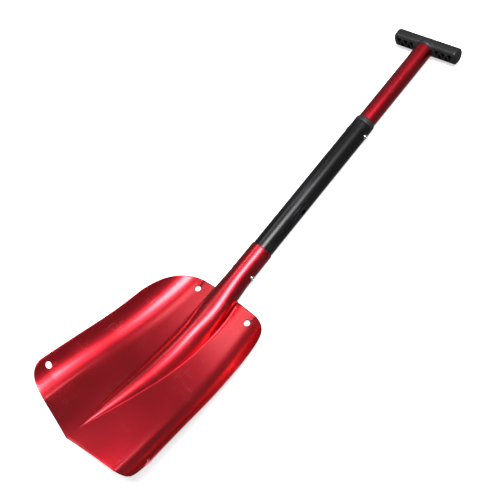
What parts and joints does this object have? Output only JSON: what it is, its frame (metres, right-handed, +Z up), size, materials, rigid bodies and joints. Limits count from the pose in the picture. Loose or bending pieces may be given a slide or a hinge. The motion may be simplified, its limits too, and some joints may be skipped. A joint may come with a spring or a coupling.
{
  "type": "avalanche shovel",
  "caption": "Collapsible snow shovel: pressed blade with a centre ridge and rolled socket, telescopic shaft locked by sprung snap buttons, and a T-grip.",
  "frame": {"origin": "bottom centre of the box around the whole shovel at its long setting, lying scoop side up", "axes": "+Y along the shaft from the blade to the grip, +X to the blade's right, +Z up out of the scoop side"},
  "size_m": [0.2346, 0.8078, 0.1005],
  "materials": {
    "red_anodised": "satin anodised",
    "black_anodised": "satin anodised",
    "black_plastic": "moulded, matte",
    "grey_plastic": "moulded, matte",
    "grip_plastic": "moulded, fine texture",
    "spring_steel": "rolled strip",
    "chrome": "plated"
  },
  "bodies": {
    "blade": {"blade": "red_anodised", "blade_socket": "red_anodised"},
    "middle_section": {"middle_tube": "black_anodised", "middle_collar": "black_plastic", "lower_clip_spring": "spring_steel"},
    "upper_section": {"upper_tube": "red_anodised", "upper_glide_bush": "grey_plastic", "upper_clip_spring": "spring_steel", "t_grip": "grip_plastic", "grip_pin": "spring_steel"},
    "lower_left_snap": {"lower_button_left": "chrome"},
    "lower_right_snap": {"lower_button_right": "chrome"},
    "upper_left_snap": {"upper_button_left": "chrome"},
    "upper_right_snap": {"upper_button_right": "chrome"}
  },
  "joints": [
    {"name": "socket_slide", "type": "slide", "parent": "blade", "child": "middle_section", "axis": [0, 1, 0], "range_m": [0, 0.08], "deforming": ["lower_button_left", "lower_button_right"]},
    {"name": "shaft_slide", "type": "slide", "parent": "middle_section", "child": "upper_section", "axis": [0, -1, 0], "range_m": [0, 0.155], "deforming": ["upper_button_left", "upper_button_right"]},
    {"name": "lower_left_press", "type": "slide", "parent": "middle_section", "child": "lower_left_snap", "axis": [1, 0, 0], "range_m": [0, 0.004], "stiffness_N_per_m": 3500, "springref_m": -0.001, "deforming": ["lower_clip_spring"]},
    {"name": "lower_right_press", "type": "slide", "parent": "middle_section", "child": "lower_right_snap", "axis": [-1, 0, 0], "range_m": [0, 0.004], "stiffness_N_per_m": 3500, "springref_m": -0.001},
    {"name": "upper_left_press", "type": "slide", "parent": "upper_section", "child": "upper_left_snap", "axis": [1, 0, 0], "range_m": [0, 0.0046], "stiffness_N_per_m": 3000, "springref_m": -0.001, "deforming": ["upper_clip_spring"]},
    {"name": "upper_right_press", "type": "slide", "parent": "upper_section", "child": "upper_right_snap", "axis": [-1, 0, 0], "range_m": [0, 0.0046], "stiffness_N_per_m": 3000, "springref_m": -0.001}
  ]
}
